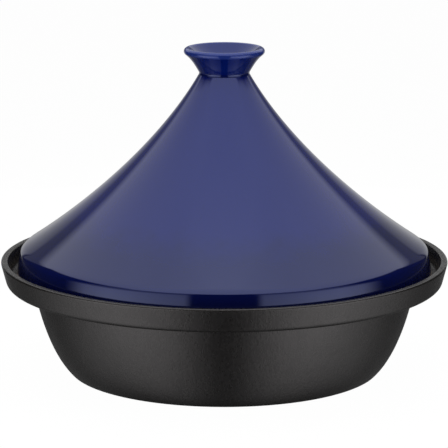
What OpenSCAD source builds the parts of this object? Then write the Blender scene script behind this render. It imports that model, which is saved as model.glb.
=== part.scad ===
// Tagine pot: a cast pan with a seat inside its raised rim, and a conical lid with a hollow knob.
// Both pieces are turned round the Z axis. The origin is on the table, under the middle of the base.
// Outlines are drawn with the radius along x and the height along y.

/* [Pan] */
// Outer diameter of the rim
rim_d = 280; // [274:1:310]
// Height of the rim above the table
pan_h = 70.8; // [66:0.1:84]
// Height of the thick band below the rim
band_h = 15.2; // [14:0.1:18]
// Outward lean of the band, in degrees
band_lean = 14.5; // [0:0.5:18]
// Thickness of the rim at its top
rim_t = 4.2; // [3.6:0.1:5.5]
// Depth of the lid's seat below the rim
seat_depth = 10; // [8:0.5:11]
// How far the rim stands out past the bowl
overhang = 20.3; // [19:0.1:21.5]
// Diameter of the flat base
base_d = 192; // [178:1:194]
// Thickness of the bowl's wall
wall_t = 4.5; // [3.5:0.1:6]
// Thickness of the bowl's floor
floor_t = 5; // [4:0.1:7]

/* [Lid] */
// Gap between the lid's shoulder and the inside of the rim
lid_gap = 8; // [6:0.1:8.5]
// Thickness of the lid's wall
lid_t = 5.5; // [4.5:0.1:6.5]
// Height of the skirt, from the foot to the shoulder
skirt_h = 14.4; // [12:0.1:16]
// Height of the cone, from the shoulder to the neck
cone_h = 112.6; // [95:0.1:135]
// Slope of the cone at its foot, in degrees
foot_slope = 33.5; // [30:0.1:37]
// Slope of the cone at its neck, in degrees
neck_slope = 60; // [54:0.5:64]

/* [Knob] */
// Diameter of the neck under the knob
neck_d = 31.4; // [28:0.1:36]
// Diameter across the knob's lip
knob_d = 50.3; // [46:0.1:56]
// Height of the knob above the neck
knob_h = 15.7; // [14:0.1:18]
// Thickness of the knob's rounded lip
lip_t = 4.4; // [3.6:0.1:5]
// Depth of the dish in the knob
dish_depth = 8.5; // [6:0.5:10]

/* [Hidden] */
$fn = 180;
arc_turn = 7.5;             // widest turn between two points of an arc
sweep_steps = 20;           // steps along a sweep

// Pan: radii and heights
rim_r = rim_d / 2;
bowl_r = rim_r - overhang;
base_r = base_d / 2;
band_z = pan_h - band_h;
seat_z = pan_h - seat_depth;

// Pan: edges that are rounded, and corners that are filled
rim_edge = 1.1;
rim_inner_edge = 0.9;
band_edge = 4;
seat_edge = 1.8;
base_edge = 2.5;
band_fillet = 2.5;
seat_fillet = 2.5;
floor_fillet = 15;

// Pan: leans of its walls, in degrees from upright
rim_wall_lean = 13;         // inside of the rim
bowl_lean = 11;             // bowl's side, under the band
bowl_turn = 44.5;           // outside of the bowl, at the base's edge
floor_turn = 36;            // inside of the bowl, at the floor's fillet
floor_inset = 7.5;          // how far the flat floor ends inside the flat base
bowl_pull = 0.285;          // how straight the bowl's side leaves the band
base_pull = 0.30;           // how straight it arrives at the base

// Lid: radii and heights
seat_play = 0.3;            // clearance under the foot
shoulder_r = rim_r - rim_t - lid_gap;
foot_z = seat_z + seat_play;
shoulder_z = foot_z + skirt_h;
neck_z = shoulder_z + cone_h;
neck_r = neck_d / 2;

// Lid: edges, leans and sweeps
foot_edge = 1.2;
shoulder_edge = 2.3;         // tight rounding above the skirt
shoulder_ease = 16;          // wider rounding that follows it, up to the cone
ease_turn = 42;             // angle at which the wider rounding takes over
hollow_edge = 8;            // rounding of the hollow, inside the shoulder
neck_fillet = 2;
skirt_lean = -10.5;           // the skirt widens towards the foot
apex_drop = 6.5;            // how far along the wall the hollow stays back from the neck
foot_pull = 0.29;           // how straight the cone leaves the shoulder
neck_pull = 0.326;          // how straight it arrives at the neck

// Knob
knob_z = neck_z + knob_h;
lip_r = lip_t / 2;
lip = [knob_d / 2 - lip_r, knob_z - lip_r];
flare_lean = 31.5;          // lean of the knob's side above the neck
lip_lean = 51.5;            // lean of the knob's side under the lip
flare_pull = 0.37;
dish_pull = 0.5;

// One millimetre at angle a
function dir(a) = [cos(a), sin(a)];

// Arc of radius r round c, from angle a to angle b
function arc(c, r, a, b) =
    let (n = ceil(abs(b - a) / arc_turn))
    [for (i = [0:n]) c + r * dir(a + (b - a) * i / n)];

// Smooth sweep that leaves p at angle a with pull j, and reaches q at angle b with pull k
function sweep(p, a, j, q, b, k) =
    let (d = norm(q - p), u = p + j * d * dir(a), v = q - k * d * dir(b))
    [for (i = [0:sweep_steps])
        let (t = i / sweep_steps, s = 1 - t)
        s^3 * p + 3 * s^2 * t * u + 3 * s * t^2 * v + t^3 * q];

// Point at height z that stands out by a distance from the leaning line through p
function beside(p, out, z, lean) = [p[0] + out / cos(lean) + (z - p[1]) * tan(lean), z];

// Top of the bowl's side, where the fillet under the band begins
function bowl_top() = [bowl_r, band_z - band_fillet * (1 - sin(bowl_lean))];

// Outside of the pan, from the base up to the rim
function pan_outside() =
    let (
        base = [base_r, base_edge],
        rim = [rim_r - rim_edge, pan_h - rim_edge],
        band = beside(rim, rim_edge - band_edge, band_z + band_edge, band_lean)
    )
    concat(
        arc(base, base_edge, -90, -bowl_turn),
        sweep(base + base_edge * dir(-bowl_turn), 90 - bowl_turn, base_pull,
              bowl_top(), 90 - bowl_lean, bowl_pull),
        arc(bowl_top() + band_fillet * dir(-bowl_lean), band_fillet, 180 - bowl_lean, 90),
        arc(band, band_edge, -90, -band_lean),
        arc(rim, rim_edge, -band_lean, 90)
    );

// Inside of the pan, from the rim down over the seat to the floor
function pan_inside() =
    let (
        rim = [rim_r - rim_t + rim_inner_edge, pan_h - rim_inner_edge],
        corner = beside(rim, -rim_inner_edge - seat_fillet, seat_z + seat_fillet, rim_wall_lean),
        ledge = beside(bowl_top(), seat_edge - wall_t, seat_z - seat_edge, bowl_lean),
        floor_rim = [base_r - floor_inset, floor_t + floor_fillet]
    )
    concat(
        arc(rim, rim_inner_edge, 90, 180 - rim_wall_lean),
        arc(corner, seat_fillet, -rim_wall_lean, -90),
        arc(ledge, seat_edge, 90, 180 - bowl_lean),
        sweep(ledge + seat_edge * dir(180 - bowl_lean), 270 - bowl_lean, bowl_pull,
              floor_rim + floor_fillet * dir(-floor_turn), 270 - floor_turn, base_pull),
        arc(floor_rim, floor_fillet, -floor_turn, -90)
    );

// Cast pan: flat base, bowl, band and the seat inside the rim
module pan() {
    color("#3b3a39")
    rotate_extrude()
    polygon(concat([[0, 0]], pan_outside(), pan_inside(), [[0, floor_t]]));
}

// Centre of the tight rounding above the skirt
function shoulder() = [shoulder_r - shoulder_edge, shoulder_z];

// Centre of the wider rounding that runs on from it to the cone
function ease() = shoulder() + (shoulder_edge - shoulder_ease) * dir(ease_turn);

// Centre of the hollow corner between the cone and the knob
function neck() = [neck_r + neck_fillet, neck_z];

// Outside of the lid, from its foot up to the underside of the knob's lip
function lid_outside() =
    concat(
        arc(beside(shoulder(), shoulder_edge - foot_edge, foot_z + foot_edge, skirt_lean),
            foot_edge, -90, -skirt_lean),
        arc(shoulder(), shoulder_edge, -skirt_lean, ease_turn),
        arc(ease(), shoulder_ease, ease_turn, 90 - foot_slope),
        sweep(ease() + shoulder_ease * dir(90 - foot_slope), 180 - foot_slope, foot_pull,
              neck() - neck_fillet * dir(90 - neck_slope), 180 - neck_slope, neck_pull),
        arc(neck(), neck_fillet, 270 - neck_slope, 180 - flare_lean),
        sweep(neck() + neck_fillet * dir(180 - flare_lean), 90 - flare_lean, flare_pull,
              lip + lip_r * dir(-lip_lean), 90 - lip_lean, flare_pull)
    );

// Lip and dish of the knob, from the underside of the lip in to the axis
function knob_dish() =
    concat(
        arc(lip, lip_r, -lip_lean, 180 - lip_lean),
        sweep(lip + lip_r * dir(180 - lip_lean), 270 - lip_lean, dish_pull,
              [0, knob_z - dish_depth], 180, dish_pull)
    );

// Hollow of the lid, from the axis down to the inside of the foot
function lid_inside() =
    let (
        top = neck() - (neck_fillet + lid_t) * dir(90 - neck_slope) + apex_drop * dir(-neck_slope),
        apex_r = top[0] / sin(neck_slope),
        inset = lid_t + hollow_edge,
        up = dir(90 - foot_slope),
        corner_r = shoulder_r - inset,
        corner_z = (ease() * up + shoulder_ease - inset - corner_r * up[0]) / up[1],
        corner = [corner_r, corner_z]
    )
    concat(
        arc([0, top[1] - apex_r * cos(neck_slope)], apex_r, 90, 90 - neck_slope),
        sweep(top, -neck_slope, neck_pull,
              corner + hollow_edge * dir(90 - foot_slope), -foot_slope, foot_pull),
        arc(corner, hollow_edge, 90 - foot_slope, -skirt_lean),
        arc(beside(corner, hollow_edge + foot_edge, foot_z + foot_edge, skirt_lean),
            foot_edge, 180 - skirt_lean, 270)
    );

// Glazed lid: skirt, shoulder, cone, neck and hollow knob in one piece
module lid() {
    color("#1c2a78")
    rotate_extrude()
    polygon(concat(lid_outside(), knob_dish(), lid_inside()));
}

pan();
lid();
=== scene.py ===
"""Tagine pot: the looks of the cast iron pan and the glazed lid, and the studio round them.

Both pieces are turned round the Z axis, in metres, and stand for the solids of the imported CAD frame.
Each outline repeats the arcs and sweeps of the CAD source, with the radius first and the height
second, and takes its overall sizes from the frame.
"""

import math

import bmesh
import bpy
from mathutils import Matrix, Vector, noise


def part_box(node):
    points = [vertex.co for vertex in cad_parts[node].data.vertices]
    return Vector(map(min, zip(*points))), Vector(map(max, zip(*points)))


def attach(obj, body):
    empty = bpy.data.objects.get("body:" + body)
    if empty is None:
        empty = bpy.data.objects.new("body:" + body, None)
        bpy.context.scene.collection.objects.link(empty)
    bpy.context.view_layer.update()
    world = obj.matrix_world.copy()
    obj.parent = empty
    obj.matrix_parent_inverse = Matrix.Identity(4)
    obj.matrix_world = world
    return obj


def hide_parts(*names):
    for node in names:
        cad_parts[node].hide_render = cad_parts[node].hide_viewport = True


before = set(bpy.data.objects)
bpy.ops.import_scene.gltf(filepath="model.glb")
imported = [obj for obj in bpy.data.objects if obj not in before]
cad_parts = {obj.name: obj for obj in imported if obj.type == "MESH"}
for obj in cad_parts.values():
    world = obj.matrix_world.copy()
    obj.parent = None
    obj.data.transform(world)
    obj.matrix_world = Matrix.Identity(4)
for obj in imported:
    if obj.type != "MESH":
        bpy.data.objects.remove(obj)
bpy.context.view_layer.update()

MM = 0.001
SEGMENTS = 240              # quads round a piece
ARC_TURN = 4                # widest turn between two points of an arc, in degrees
SWEEP_STEPS = 56            # steps along a sweep
RING_GAP = 3 * MM           # widest gap between two rings of vertices
SAME_POINT = 1e-7           # points closer than this are one point, in metres
AXIS_R = 1e-6               # points nearer to the axis than this are on it, in metres

# Sizes that the frame gives
pan_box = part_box("pan")
lid_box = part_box("lid")
RIM_R = pan_box[1].x
PAN_H = pan_box[1].z
FOOT_Z = lid_box[0].z
TOP_Z = lid_box[1].z

# Pan: its dimensions, then its leans in degrees
BAND_H = 15.2 * MM
RIM_T = 4.2 * MM
OVERHANG = 20.3 * MM
BASE_R = 96 * MM
WALL_T = 4.5 * MM
FLOOR_T = 5 * MM
RIM_EDGE = 1.1 * MM
RIM_INNER_EDGE = 0.9 * MM
BAND_EDGE = 4 * MM
SEAT_EDGE = 1.8 * MM
BASE_EDGE = 2.5 * MM
BAND_FILLET = 2.5 * MM
SEAT_FILLET = 2.5 * MM
FLOOR_FILLET = 15 * MM
FLOOR_INSET = 7.5 * MM
SEAT_PLAY = 0.3 * MM
BAND_LEAN = 14.5
RIM_WALL_LEAN = 13
BOWL_LEAN = 11
BOWL_TURN = 44.5
FLOOR_TURN = 36
BOWL_PULL = 0.285
BASE_PULL = 0.30

# Lid and knob: their dimensions, then their slopes and leans in degrees
LID_GAP = 8 * MM
LID_T = 5.5 * MM
SKIRT_H = 14.4 * MM
NECK_R = 15.7 * MM
KNOB_R = 25.15 * MM
KNOB_H = 15.7 * MM
LIP_R = 2.2 * MM
DISH_DEPTH = 8.5 * MM
FOOT_EDGE = 1.2 * MM
SHOULDER_EDGE = 2.3 * MM
SHOULDER_EASE = 16 * MM
HOLLOW_EDGE = 8 * MM
NECK_FILLET = 2 * MM
APEX_DROP = 6.5 * MM
EASE_TURN = 42
FOOT_SLOPE = 33.5
NECK_SLOPE = 60
SKIRT_LEAN = -10.5
FLARE_LEAN = 31.5
LIP_LEAN = 51.5
FOOT_PULL = 0.29
NECK_PULL = 0.326
FLARE_PULL = 0.37
DISH_PULL = 0.5

# Heights and centres that follow
BAND_Z = PAN_H - BAND_H
SEAT_Z = FOOT_Z - SEAT_PLAY
NECK_Z = TOP_Z - KNOB_H
SHOULDER_Z = FOOT_Z + SKIRT_H
SHOULDER = Vector((RIM_R - RIM_T - LID_GAP - SHOULDER_EDGE, SHOULDER_Z))
NECK = Vector((NECK_R + NECK_FILLET, NECK_Z))
LIP = Vector((KNOB_R - LIP_R, TOP_Z - LIP_R))
BOWL_TOP = Vector((RIM_R - OVERHANG, BAND_Z - BAND_FILLET * (1 - math.sin(math.radians(BOWL_LEAN)))))

# Surface relief, in metres
CAST_RELIEF = 0.07 * MM     # depth of the cast wall's waves
CAST_WAVES = 14 * MM        # size of its broad waves
CAST_RIPPLES = 6 * MM       # size of its finer waves
GLAZE_RELIEF = 0.02 * MM    # depth of the fired glaze's waves
GLAZE_WAVES = 32 * MM       # size of them
GLAZE_LINE = 1.6 * MM       # height of the bare foot
BASE_SKIN = 0.1 * MM        # the pan's base has no relief up to this height

# Heights over which the glaze's blue changes
DEEP_BLUE_Z = SHOULDER_Z + 13 * MM      # deep up to here
CONE_BLUE_Z = SHOULDER_Z + 32 * MM      # the cone's blue from here
NECK_BLUE_Z = NECK_Z - 2 * MM           # up to here
KNOB_BLUE_Z = NECK_Z + 4 * MM           # the knob's blue from here

# Studio
STUDIO_R = 0.6              # radius of the sphere of light, in metres
STUDIO_Z = 0.08             # height of its centre
STUDIO_SIDES = 96           # faces round it
STUDIO_RINGS = 48           # faces from its bottom to its top
DARK_LIGHT = 0.025          # light from the dark parts of the room
FLOOR_R = 9                 # radius of the round floor, in metres
FLOOR_SIDES = 96            # sides of it
FLOOR_GAP = 0.1 * MM        # keeps the floor's face clear of the pan's base

# Camera, in metres and degrees
CAMERA_CENTRE = Vector((0, 0, 0.1))             # the point that it stands off from
CAMERA_DISTANCE = 1.828
CAMERA_TILT = 11.741                            # above the horizontal
CAMERA_AIM = Vector((-0.0002, 0, 0.09209))      # the point in the middle of the picture
CAMERA_LENS = 234.47                            # focal length and sensor, in millimetres
CAMERA_SENSOR = 36

# Colours of the cast iron, from its dark to its light patches and the worn edges
IRON_BLACK = (0.0014, 0.0013, 0.0013)
IRON_GREY = (0.0042, 0.0038, 0.0037)
IRON_WORN = (0.016, 0.015, 0.014)

# Colours of the glaze, and of the clay under it
KNOB_BLUE = (0.0015, 0.0110, 0.135)
CONE_BLUE = (0.0012, 0.0066, 0.128)
DEEP_BLUE = (0.0010, 0.0040, 0.064)
SPECK_BLUE = (0.0010, 0.0050, 0.060)
# The lip's lighter blue: partly thinner glaze, partly a painted highlight of the light from above
THIN_GLAZE_AND_HIGHLIGHT_BLUE = (0.0500, 0.0900, 0.420)
POOLED_BLUE = (0.0008, 0.0040, 0.060)
CLAY_DARK = (0.42, 0.33, 0.23)
CLAY_LIGHT = (0.56, 0.46, 0.34)


# Outlines

def turn(angle):
    """The unit vector at an angle in degrees."""
    return Vector((math.cos(math.radians(angle)), math.sin(math.radians(angle))))


def arc(centre, radius, a, b):
    """Points of an arc from angle a to angle b."""
    steps = math.ceil(abs(b - a) / ARC_TURN)
    return [centre + radius * turn(a + (b - a) * i / steps) for i in range(steps + 1)]


def sweep(p, a, j, q, b, k):
    """A smooth sweep that leaves p at angle a with pull j, and reaches q at angle b with pull k."""
    length = (q - p).length
    u = p + j * length * turn(a)
    v = q - k * length * turn(b)
    points = []
    for i in range(SWEEP_STEPS + 1):
        t = i / SWEEP_STEPS
        s = 1 - t
        points.append(s**3 * p + 3 * s * s * t * u + 3 * s * t * t * v + t**3 * q)
    return points


def beside(p, out, z, lean):
    """The point at height z that stands out by a distance from the leaning line through p."""
    lean = math.radians(lean)
    return Vector((p.x + out / math.cos(lean) + (z - p.y) * math.tan(lean), z))


def pan_outside():
    """Outside of the pan, from the base up to the rim."""
    base = Vector((BASE_R, BASE_EDGE))
    rim = Vector((RIM_R - RIM_EDGE, PAN_H - RIM_EDGE))
    band = beside(rim, RIM_EDGE - BAND_EDGE, BAND_Z + BAND_EDGE, BAND_LEAN)
    return (
        arc(base, BASE_EDGE, -90, -BOWL_TURN)
        + sweep(base + BASE_EDGE * turn(-BOWL_TURN), 90 - BOWL_TURN, BASE_PULL,
                BOWL_TOP, 90 - BOWL_LEAN, BOWL_PULL)
        + arc(BOWL_TOP + BAND_FILLET * turn(-BOWL_LEAN), BAND_FILLET, 180 - BOWL_LEAN, 90)
        + arc(band, BAND_EDGE, -90, -BAND_LEAN)
        + arc(rim, RIM_EDGE, -BAND_LEAN, 90)
    )


def pan_inside():
    """Inside of the pan, from the rim down over the lid's seat to the floor."""
    rim = Vector((RIM_R - RIM_T + RIM_INNER_EDGE, PAN_H - RIM_INNER_EDGE))
    corner = beside(rim, -RIM_INNER_EDGE - SEAT_FILLET, SEAT_Z + SEAT_FILLET, RIM_WALL_LEAN)
    ledge = beside(BOWL_TOP, SEAT_EDGE - WALL_T, SEAT_Z - SEAT_EDGE, BOWL_LEAN)
    floor_rim = Vector((BASE_R - FLOOR_INSET, FLOOR_T + FLOOR_FILLET))
    return (
        arc(rim, RIM_INNER_EDGE, 90, 180 - RIM_WALL_LEAN)
        + arc(corner, SEAT_FILLET, -RIM_WALL_LEAN, -90)
        + arc(ledge, SEAT_EDGE, 90, 180 - BOWL_LEAN)
        + sweep(ledge + SEAT_EDGE * turn(180 - BOWL_LEAN), 270 - BOWL_LEAN, BOWL_PULL,
                floor_rim + FLOOR_FILLET * turn(-FLOOR_TURN), 270 - FLOOR_TURN, BASE_PULL)
        + arc(floor_rim, FLOOR_FILLET, -FLOOR_TURN, -90)
    )


def ease():
    """Centre of the wide rounding between the shoulder's tight edge and the cone."""
    return SHOULDER + (SHOULDER_EDGE - SHOULDER_EASE) * turn(EASE_TURN)


def lid_outside():
    """Outside of the lid, from its foot up over the knob's lip to the middle of the dish."""
    foot = beside(SHOULDER, SHOULDER_EDGE - FOOT_EDGE, FOOT_Z + FOOT_EDGE, SKIRT_LEAN)
    return (
        arc(foot, FOOT_EDGE, -90, -SKIRT_LEAN)
        + arc(SHOULDER, SHOULDER_EDGE, -SKIRT_LEAN, EASE_TURN)
        + arc(ease(), SHOULDER_EASE, EASE_TURN, 90 - FOOT_SLOPE)
        + sweep(ease() + SHOULDER_EASE * turn(90 - FOOT_SLOPE), 180 - FOOT_SLOPE, FOOT_PULL,
                NECK - NECK_FILLET * turn(90 - NECK_SLOPE), 180 - NECK_SLOPE, NECK_PULL)
        + arc(NECK, NECK_FILLET, 270 - NECK_SLOPE, 180 - FLARE_LEAN)
        + sweep(NECK + NECK_FILLET * turn(180 - FLARE_LEAN), 90 - FLARE_LEAN, FLARE_PULL,
                LIP + LIP_R * turn(-LIP_LEAN), 90 - LIP_LEAN, FLARE_PULL)
        + arc(LIP, LIP_R, -LIP_LEAN, 180 - LIP_LEAN)
        + sweep(LIP + LIP_R * turn(180 - LIP_LEAN), 270 - LIP_LEAN, DISH_PULL,
                Vector((0, TOP_Z - DISH_DEPTH)), 180, DISH_PULL)
    )


def lid_inside():
    """Hollow of the lid, from the axis down to the inside of the foot."""
    top = NECK - (NECK_FILLET + LID_T) * turn(90 - NECK_SLOPE) + APEX_DROP * turn(-NECK_SLOPE)
    apex_r = top.x / math.sin(math.radians(NECK_SLOPE))
    inset = LID_T + HOLLOW_EDGE
    up = turn(90 - FOOT_SLOPE)
    corner_r = SHOULDER.x + SHOULDER_EDGE - inset
    corner = Vector((corner_r, (ease().dot(up) + SHOULDER_EASE - inset - corner_r * up.x) / up.y))
    foot = beside(corner, HOLLOW_EDGE + FOOT_EDGE, FOOT_Z + FOOT_EDGE, SKIRT_LEAN)
    return (
        arc(Vector((0, top.y - apex_r * turn(NECK_SLOPE).x)), apex_r, 90, 90 - NECK_SLOPE)
        + sweep(top, -NECK_SLOPE, NECK_PULL,
                corner + HOLLOW_EDGE * turn(90 - FOOT_SLOPE), -FOOT_SLOPE, FOOT_PULL)
        + arc(corner, HOLLOW_EDGE, 90 - FOOT_SLOPE, -SKIRT_LEAN)
        + arc(foot, FOOT_EDGE, 180 - SKIRT_LEAN, 270)
    )


def fine(points):
    """The same outline with no gap wider than RING_GAP and no point twice."""
    made = [points[0]]
    for a, b in zip(points, points[1:]):
        if (b - a).length < SAME_POINT:
            continue
        steps = math.ceil((b - a).length / RING_GAP)
        made += [a.lerp(b, i / steps) for i in range(1, steps + 1)]
    return made


def bend(points, i):
    """How far the outline turns at point i, per millimetre: above 0 where it bulges out."""
    a, b, c = points[i - 1], points[i], points[(i + 1) % len(points)]
    u, v = b - a, c - b
    if u.length < SAME_POINT or v.length < SAME_POINT:
        return 0
    return math.atan2(u.x * v.y - u.y * v.x, u.dot(v)) / (u.length + v.length) * 2 * MM


# Meshes

def new_object(name, data):
    """A new object in the scene."""
    obj = bpy.data.objects.new(name, data)
    bpy.context.scene.collection.objects.link(obj)
    return obj


def between(a, a_axis, b, b_axis):
    """Faces between two rings, given each ring's first vertex and whether it is a point on the axis."""
    if a_axis and b_axis:
        return []
    faces = []
    for s in range(SEGMENTS):
        n = (s + 1) % SEGMENTS
        if a_axis:
            faces.append((a, b + n, b + s))
        elif b_axis:
            faces.append((a + s, a + n, b))
        else:
            faces.append((a + s, a + n, b + n, b + s))
    return faces


def lathe(name, points, closed, relief, material):
    """Turns an outline round the Z axis. relief moves each vertex, and an attribute holds the bends."""
    verts, faces, bends, rings = [], [], [], []
    for i, p in enumerate(points):
        on_axis = p.x < AXIS_R
        turned = bend(points, i)
        rings.append((len(verts), on_axis))
        for s in range(1 if on_axis else SEGMENTS):
            angle = 2 * math.pi * s / SEGMENTS
            verts.append(Vector((p.x * math.cos(angle), p.x * math.sin(angle), p.y)))
            bends.append(turned)
    pairs = list(zip(rings, rings[1:])) + ([(rings[-1], rings[0])] if closed else [])
    for (a, a_axis), (b, b_axis) in pairs:
        faces += between(a, a_axis, b, b_axis)
    mesh = bpy.data.meshes.new(name)
    mesh.from_pydata([relief(v) for v in verts], [], faces)
    mesh.attributes.new("bend", "FLOAT", "POINT").data.foreach_set("value", bends)
    mesh.shade_smooth()
    mesh.materials.append(material)
    return new_object(name, mesh)


def cut_in(v, depth, wave):
    """The vertex moved towards the axis, by nothing where wave is -1 and by depth where it is 1."""
    flat = Vector((v.x, v.y, 0))
    if flat.length < AXIS_R:
        return v
    return v - flat.normalized() * depth * (0.5 + 0.5 * max(-1, min(1, wave)))


def cast_relief(v):
    """Waviness of a sand casting: it only cuts in, so the pan keeps its outer size."""
    if v.z < BASE_SKIN:
        return v
    return cut_in(v, CAST_RELIEF, noise.noise(v / CAST_WAVES) + 0.6 * noise.noise(v / CAST_RIPPLES))


def glaze_relief(v):
    """Faint waves of a fired glaze, which only cut in too."""
    return cut_in(v, GLAZE_RELIEF, noise.noise(v / GLAZE_WAVES))


# Materials

class Nodes:
    """Short calls that add nodes to a tree."""

    def __init__(self, tree):
        self.tree = tree
        tree.nodes.clear()

    def add(self, kind, inputs=None, **settings):
        """A new node: inputs are links or values by socket, settings are the node's own."""
        node = self.tree.nodes.new(kind)
        for key, value in settings.items():
            setattr(node, key, value)
        for key, value in (inputs or {}).items():
            if isinstance(value, bpy.types.NodeSocket):
                self.tree.links.new(value, node.inputs[key])
            else:
                node.inputs[key].default_value = value
        return node

    def math(self, operation, *values):
        """One sum or function of values."""
        return self.add("ShaderNodeMath", dict(enumerate(values)), operation=operation).outputs[0]

    def ramp(self, value, low, high, out_low=0.0, out_high=1.0, smooth=True):
        """out_low up to where value is low, out_high from where it is high, and a ramp between them."""
        node = self.add("ShaderNodeMapRange", {
            "Value": value, "From Min": low, "From Max": high, "To Min": out_low, "To Max": out_high,
        }, interpolation_type="SMOOTHSTEP" if smooth else "LINEAR")
        return node.outputs[0]

    def line(self, angle, low, high, out_low=0.0, out_high=1.0):
        """A straight ramp over an angle, between the angles low and high in degrees."""
        return self.ramp(angle, math.radians(low), math.radians(high), out_low, out_high, smooth=False)

    def edge(self, angle, low, high, out_low=0.0, out_high=1.0):
        """A soft step over an angle, between the angles low and high in degrees."""
        return self.ramp(angle, math.radians(low), math.radians(high), out_low, out_high)

    def noise(self, vector, size, detail=2.0, roughness=0.5):
        """Noise whose patches are about size metres across."""
        node = self.add("ShaderNodeTexNoise", {
            "Vector": vector, "Scale": 1 / size, "Detail": detail, "Roughness": roughness,
        })
        return node.outputs["Fac"]

    def mix(self, factor, a, b):
        """The colour a where factor is 0, and b where it is 1."""
        node = self.add("ShaderNodeMix", {"Factor": factor}, data_type="RGBA")
        for socket, value in zip(("A", "B"), (a, b)):
            target = [i for i in node.inputs if i.name == socket and i.type == "RGBA"][0]
            if isinstance(value, bpy.types.NodeSocket):
                self.tree.links.new(value, target)
            else:
                target.default_value = (*value, 1)
        return [o for o in node.outputs if o.type == "RGBA"][0]

    def bump(self, height, strength, distance, normal=None):
        """A bumped normal, on top of another one if it is given."""
        inputs = {"Height": height, "Strength": strength, "Distance": distance}
        if normal is not None:
            inputs["Normal"] = normal
        return self.add("ShaderNodeBump", inputs).outputs[0]


def new_material(name):
    """A new material, and the calls that add nodes to it."""
    material = bpy.data.materials.new(name)
    material.use_nodes = True
    return material, Nodes(material.node_tree)


def cast_iron():
    """Black seasoned cast iron: fine sand grain, soft mottling, faint vertical streaks, a worn rim."""
    material, n = new_material("cast_iron")
    place = n.add("ShaderNodeTexCoord").outputs["Object"]
    streaked = n.add("ShaderNodeMapping", {"Vector": place, "Scale": (1, 1, 0.16)}).outputs[0]
    worn = n.ramp(n.add("ShaderNodeAttribute", attribute_name="bend").outputs["Fac"], 0.15, 0.8)

    mottle = n.noise(place, 9 * MM, 4)
    streak = n.noise(streaked, 1.6 * MM, 3)
    grain = n.noise(place, 0.55 * MM, 3, 0.6)
    pits = n.noise(place, 2.2 * MM, 3, 0.6)

    tone = n.math("ADD", n.math("MULTIPLY", mottle, 0.6), n.math("MULTIPLY", streak, 0.4))
    colour = n.mix(n.ramp(tone, 0.38, 0.62), IRON_BLACK, IRON_GREY)
    colour = n.mix(n.math("MULTIPLY", worn, 0.5), colour, IRON_WORN)

    rough = n.ramp(n.math("ADD", n.math("MULTIPLY", streak, 0.5), n.math("MULTIPLY", mottle, 0.5)),
                   0.35, 0.65, 0.31, 0.23)
    rough = n.math("SUBTRACT", rough, n.math("MULTIPLY", worn, 0.06))

    height = n.math("ADD", n.math("MULTIPLY", grain, 0.5), n.math("MULTIPLY", pits, 0.5))
    normal = n.bump(height, 0.8, 0.3 * MM)
    shader = n.add("ShaderNodeBsdfPrincipled", {
        "Base Color": colour, "Roughness": rough, "Normal": normal,
        "IOR": 1.63, "Specular Tint": (1.0, 0.955, 0.965, 1),
    })
    n.add("ShaderNodeOutputMaterial", {"Surface": shader.outputs[0]})
    return material


def blue_glaze():
    """Cobalt glaze: milky on the knob, deeper down the cone, near black on the skirt; a bare foot. The
    knob's lip is a lighter blue, partly thinner glaze and partly a painted highlight.
    """
    material, n = new_material("blue_glaze")
    place = n.add("ShaderNodeTexCoord").outputs["Object"]
    height = n.add("ShaderNodeSeparateXYZ", {0: place}).outputs[2]
    turned = n.add("ShaderNodeAttribute", attribute_name="bend").outputs["Fac"]
    bare = n.add("ShaderNodeAttribute", attribute_name="bare").outputs["Fac"]
    thin_and_highlight = n.ramp(turned, 0.438, 0.45)          # bends tighter than the shoulder's: the lip, whose lighter blue is partly thinner glaze and partly a painted highlight
    pooled = n.ramp(turned, -0.05, -0.4)        # hollow bends: round the neck

    cloud = n.noise(place, 16 * MM, 4, 0.6)
    run = n.math("ADD", height, n.ramp(cloud, 0.3, 0.7, -4 * MM, 4 * MM, smooth=False))
    colour = n.mix(n.ramp(run, DEEP_BLUE_Z, CONE_BLUE_Z), DEEP_BLUE, CONE_BLUE)
    colour = n.mix(n.ramp(run, NECK_BLUE_Z, KNOB_BLUE_Z), colour, KNOB_BLUE)
    speck = n.noise(place, 0.9 * MM, 2)
    colour = n.mix(n.math("MULTIPLY", n.ramp(speck, 0.60, 0.75), 0.5), colour, SPECK_BLUE)
    # The lip's lighter blue: partly thinner glaze, partly a painted highlight of the light from above
    colour = n.mix(n.math("MULTIPLY", thin_and_highlight, 0.32), colour, THIN_GLAZE_AND_HIGHLIGHT_BLUE)
    colour = n.mix(n.math("MULTIPLY", pooled, 0.7), colour, POOLED_BLUE)
    clay = n.mix(n.noise(place, 1.2 * MM, 3), CLAY_DARK, CLAY_LIGHT)
    colour = n.mix(bare, colour, clay)

    rough = n.ramp(n.noise(place, 11 * MM, 3), 0.35, 0.65, 0.045, 0.075)
    rough = n.math("ADD", rough, n.math("MULTIPLY", bare, 0.7))

    peel = n.noise(place, 4.5 * MM, 1)
    smooth = n.bump(peel, 0.05, 0.05 * MM)
    sandy = n.math("MULTIPLY", n.noise(place, 0.5 * MM, 2), bare)
    normal = n.bump(sandy, 0.6, 0.2 * MM, smooth)
    shader = n.add("ShaderNodeBsdfPrincipled", {
        "Base Color": colour, "Roughness": rough, "Normal": normal,
        "IOR": 1.79, "Specular Tint": (0.50, 0.565, 1.0, 1),
    })
    n.add("ShaderNodeOutputMaterial", {"Surface": shader.outputs[0]})
    return material


# The two pieces

def make_pan():
    """The cast pan, which stands for the CAD node pan."""
    points = fine([Vector((0, 0))] + pan_outside() + pan_inside() + [Vector((0, FLOOR_T))])
    pan = lathe("pan_cast_iron", points, False, cast_relief, cast_iron())
    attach(pan, "pan")
    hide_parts("pan")


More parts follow.
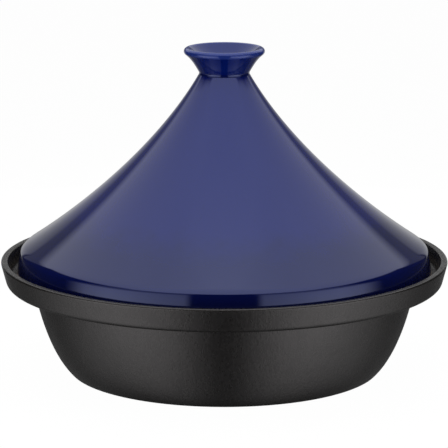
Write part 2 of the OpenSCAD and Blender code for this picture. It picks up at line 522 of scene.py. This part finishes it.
def make_lid():
    """The glazed lid, which stands for the CAD node lid. An attribute marks its bare foot."""
    points = fine(lid_outside() + lid_inside())
    lid = lathe("lid_blue_glaze", points, True, glaze_relief, blue_glaze())
    bare = [1.0 if v.co.z < FOOT_Z + GLAZE_LINE else 0.0 for v in lid.data.vertices]
    lid.data.attributes.new("bare", "FLOAT", "POINT").data.foreach_set("value", bare)
    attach(lid, "lid")
    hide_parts("lid")


# The studio. Each of its lights is made of ramps over the azimuth and the elevation, in degrees.

def make_floor():
    """A round pale floor. Only the camera sees it, so it doesn't shade or tint the pot from below."""
    mesh = bpy.data.meshes.new("floor")
    angles = [2 * math.pi * i / FLOOR_SIDES for i in range(FLOOR_SIDES)]
    ring = [(FLOOR_R * math.cos(angle), FLOOR_R * math.sin(angle), 0) for angle in angles]
    mesh.from_pydata(ring, [], [tuple(range(FLOOR_SIDES))])
    floor = new_object("floor", mesh)
    floor.location.z = -FLOOR_GAP
    floor.visible_diffuse = False
    floor.visible_glossy = False
    floor.visible_shadow = False
    material, n = new_material("pale_floor")
    shader = n.add("ShaderNodeBsdfPrincipled", {
        "Base Color": (0.03, 0.03, 0.03, 1), "Roughness": 0.9, "Specular IOR Level": 0.0,
        "Emission Color": (1, 1, 1, 1), "Emission Strength": 0.985,
    })
    n.add("ShaderNodeOutputMaterial", {"Surface": shader.outputs[0]})
    mesh.materials.append(material)


def tent_hem(n, azimuth):
    """Elevation of the tent's hem: high in front, lower and lower behind, and up a step at the back."""
    hem = n.line(azimuth, 30, 70, math.radians(46.7), math.radians(49))
    for start, end, drop in ((70, 100, 8.6), (100, 125, 10.5), (125, 142, 26)):
        hem = n.math("ADD", hem, n.line(azimuth, start, end, 0.0, math.radians(-drop)))
    return n.math("MAXIMUM", hem, n.edge(azimuth, 141, 144, 0.0, math.radians(15.2)))


def tent_light(n, azimuth, elevation):
    """The overhead cloth: brightest at the top, dimmer towards the back, in shade low down behind."""
    glow = n.line(elevation, 15, 60, 0.98, 1.31)
    glow = n.math("MULTIPLY", glow, n.line(azimuth, 60, 135, 1.0, 0.77))
    glow = n.math("ADD", glow, n.line(elevation, 70, 88, 0.0, 0.13))
    shade = n.math("MULTIPLY", n.line(elevation, 27.6, 22), n.line(azimuth, 95, 115, 0.0, 0.8))
    return n.math("MULTIPLY", glow, n.math("SUBTRACT", 1.0, shade))


def box_light(n, azimuth, elevation):
    """The two softboxes in front: brightest just below the middle, fading upwards and downwards.

    Each starts at azimuth 15 to 20, is brightest at 48 to 60, and has faded out by 90.
    """
    across = n.math("MULTIPLY", n.edge(azimuth, 15, 20), n.line(azimuth, 20, 48, 0.69, 1.0))
    across = n.math("MULTIPLY", across, n.line(azimuth, 60, 86, 1.0, 0.42))
    across = n.math("MULTIPLY", across, n.edge(azimuth, 89.5, 72))

    fade = n.line(elevation, -88, -50, 0.0, 0.80)
    for start, end, change in ((-50, -5, 1.09), (-5, 12, -1.12), (12, 40, -0.52)):
        fade = n.math("ADD", fade, n.line(elevation, start, end, 0.0, change))
    return n.math("MULTIPLY", across, n.math("MAXIMUM", fade, 0.0))


def wall_light(n, azimuth, elevation):
    """The grey wall behind, darker higher up. It ends a little below the middle."""
    wall = n.math("MULTIPLY", n.line(azimuth, 150, 176, 0.50, 0.53), n.edge(azimuth, 143, 146))
    wall = n.math("MULTIPLY", wall, n.line(elevation, 26, 0, 0.04, 1.0))
    return n.math("MULTIPLY", wall, n.line(elevation, -20, -4, 0.0, 1.0))


def table_light(n, azimuth, elevation):
    """The pale table beside the pot, dimmer behind: bright far off, and darker in the pot's shade."""
    near = n.math("MULTIPLY", n.line(elevation, -86, -56), n.line(elevation, -20, -42))
    near = n.math("MULTIPLY", near, n.line(azimuth, 70, 95, 0.0, 0.16))
    near = n.math("MULTIPLY", near, n.line(azimuth, 95, 120, 1.0, 0.1))
    far = n.math("MULTIPLY", n.line(elevation, -60, -40), n.line(elevation, -6, -18))
    far = n.math("MULTIPLY", far, n.line(azimuth, 76, 92, 0.0, 0.50))
    far = n.math("MULTIPLY", far, n.line(azimuth, 92, 110, 1.0, 0.15))
    return n.math("ADD", near, far)


def studio_material():
    """Light of the whole studio, painted on a sphere by direction from its centre.

    Azimuth is 0 towards the camera's side and 180 behind, the same to the left and to the right.
    """
    material, n = new_material("studio")
    place = n.add("ShaderNodeTexCoord").outputs["Object"]
    way = n.add("ShaderNodeVectorMath", {0: place}, operation="NORMALIZE").outputs[0]
    x, y, z = n.add("ShaderNodeSeparateXYZ", {0: way}).outputs
    azimuth = n.math("ABSOLUTE", n.math("ARCTAN2", x, n.math("MULTIPLY", y, -1.0)))
    elevation = n.math("ARCSINE", z)

    past_hem = n.math("SUBTRACT", elevation, tent_hem(n, azimuth))
    tent = n.edge(past_hem, -1.5, 2)
    above = tent_light(n, azimuth, elevation)
    below = n.math("ADD", box_light(n, azimuth, elevation), wall_light(n, azimuth, elevation))
    below = n.math("ADD", below, table_light(n, azimuth, elevation))
    below = n.math("ADD", below, DARK_LIGHT)
    light = n.add("ShaderNodeMix", {"Factor": tent, "A": below, "B": above}).outputs[0]
    shine = n.add("ShaderNodeEmission", {"Color": (1, 1, 1, 1), "Strength": light})
    n.add("ShaderNodeOutputMaterial", {"Surface": shine.outputs[0]})
    return material


def make_studio():
    """A sphere of light close round the pot, which the camera doesn't see."""
    mesh = bpy.data.meshes.new("studio")
    bm = bmesh.new()
    bmesh.ops.create_uvsphere(bm, u_segments=STUDIO_SIDES, v_segments=STUDIO_RINGS, radius=STUDIO_R)
    bm.to_mesh(mesh)
    bm.free()
    mesh.materials.append(studio_material())
    studio = new_object("studio", mesh)
    studio.location = (0, 0, STUDIO_Z)
    studio.visible_camera = False
    studio.visible_shadow = False


def make_backdrop():
    """Plain white for the camera, and no light of its own."""
    world = bpy.data.worlds.new("backdrop")
    bpy.context.scene.world = world
    world.use_nodes = True
    n = Nodes(world.node_tree)
    seen = n.add("ShaderNodeLightPath").outputs["Is Camera Ray"]
    white = n.add("ShaderNodeBackground", {"Color": (1, 1, 1, 1), "Strength": seen})
    n.add("ShaderNodeOutputWorld", {"Surface": white.outputs[0]})


def make_camera():
    """A long lens in front of the pot, looking down a little. Colours are shown without a film look."""
    data = bpy.data.cameras.new("camera")
    data.sensor_width = CAMERA_SENSOR
    data.lens = CAMERA_LENS
    camera = new_object("camera", data)
    away = turn(CAMERA_TILT)
    camera.location = CAMERA_CENTRE + CAMERA_DISTANCE * Vector((0, -away.x, away.y))
    camera.rotation_mode = "QUATERNION"
    camera.rotation_quaternion = (CAMERA_AIM - camera.location).to_track_quat("-Z", "Y")
    bpy.context.scene.camera = camera
    bpy.context.scene.view_settings.view_transform = "Standard"


make_pan()
make_lid()
make_floor()
make_studio()
make_backdrop()
make_camera()
